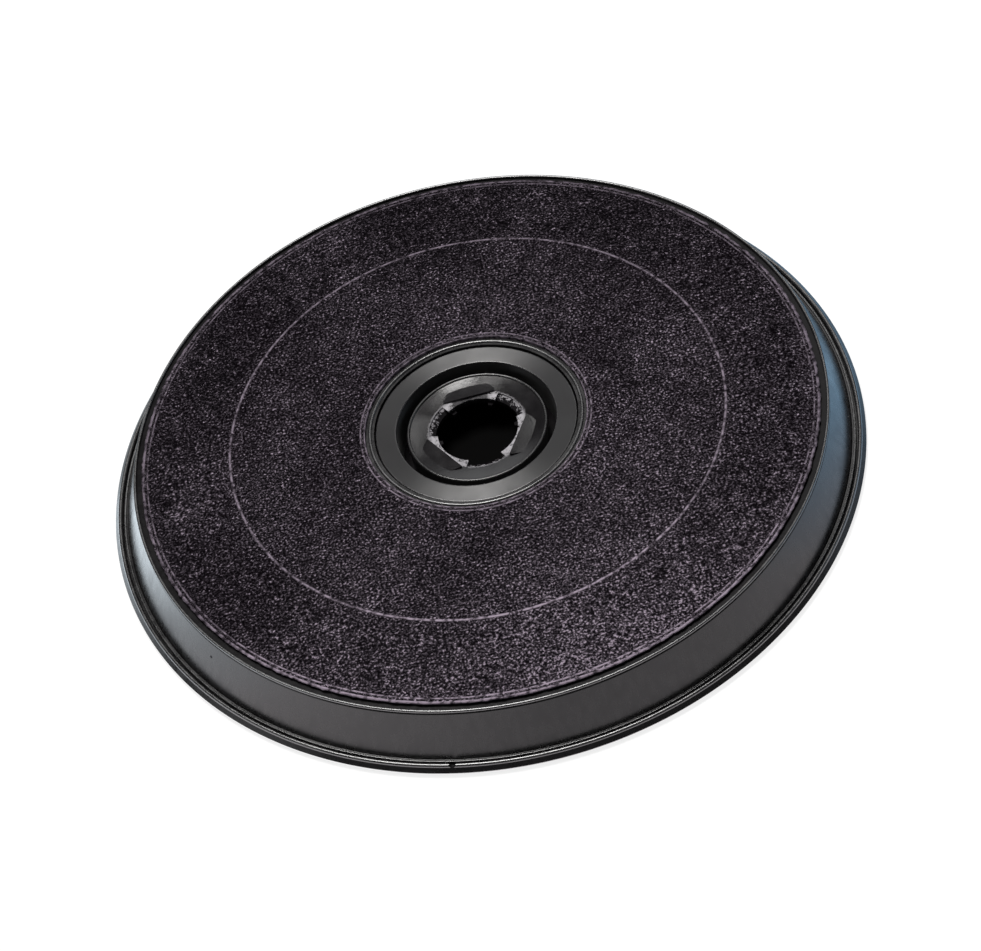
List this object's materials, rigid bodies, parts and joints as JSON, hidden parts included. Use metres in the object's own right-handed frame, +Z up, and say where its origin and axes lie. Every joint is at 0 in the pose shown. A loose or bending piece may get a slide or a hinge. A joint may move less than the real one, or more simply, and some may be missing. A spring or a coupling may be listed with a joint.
{
  "type": "cooker hood carbon filter",
  "caption": "Round activated-carbon filter cassette: conical plastic casing with a felt face, a granule bed, a grille back and a notched bayonet hub.",
  "frame": {"origin": "centre of the filter at the plane of the rim's flat foot, on the surface it lies on", "axes": "+Z up along the filter's axis, from the grille back towards the felt face and out of the bayonet hole; +X to the right in the picture's view, with the notches at 30, 150 and 270 degrees from +X"},
  "size_m": [0.233, 0.233, 0.02],
  "materials": {
    "casing_plastic": "satin black moulded plastic",
    "bush_plastic": "glossy black moulded plastic",
    "front_fleece": "black needled felt with pale fibres",
    "rear_fleece": "black fleece",
    "carbon_granules": "matt black activated-carbon granules"
  },
  "bodies": {
    "root": {"casing": "casing_plastic", "front_felt": "front_fleece", "carbon_bed": "carbon_granules", "rear_felt": "rear_fleece", "rear_cover": "casing_plastic", "hub_ring": "casing_plastic", "bayonet_bush": "bush_plastic"}
  },
  "joints": []
}
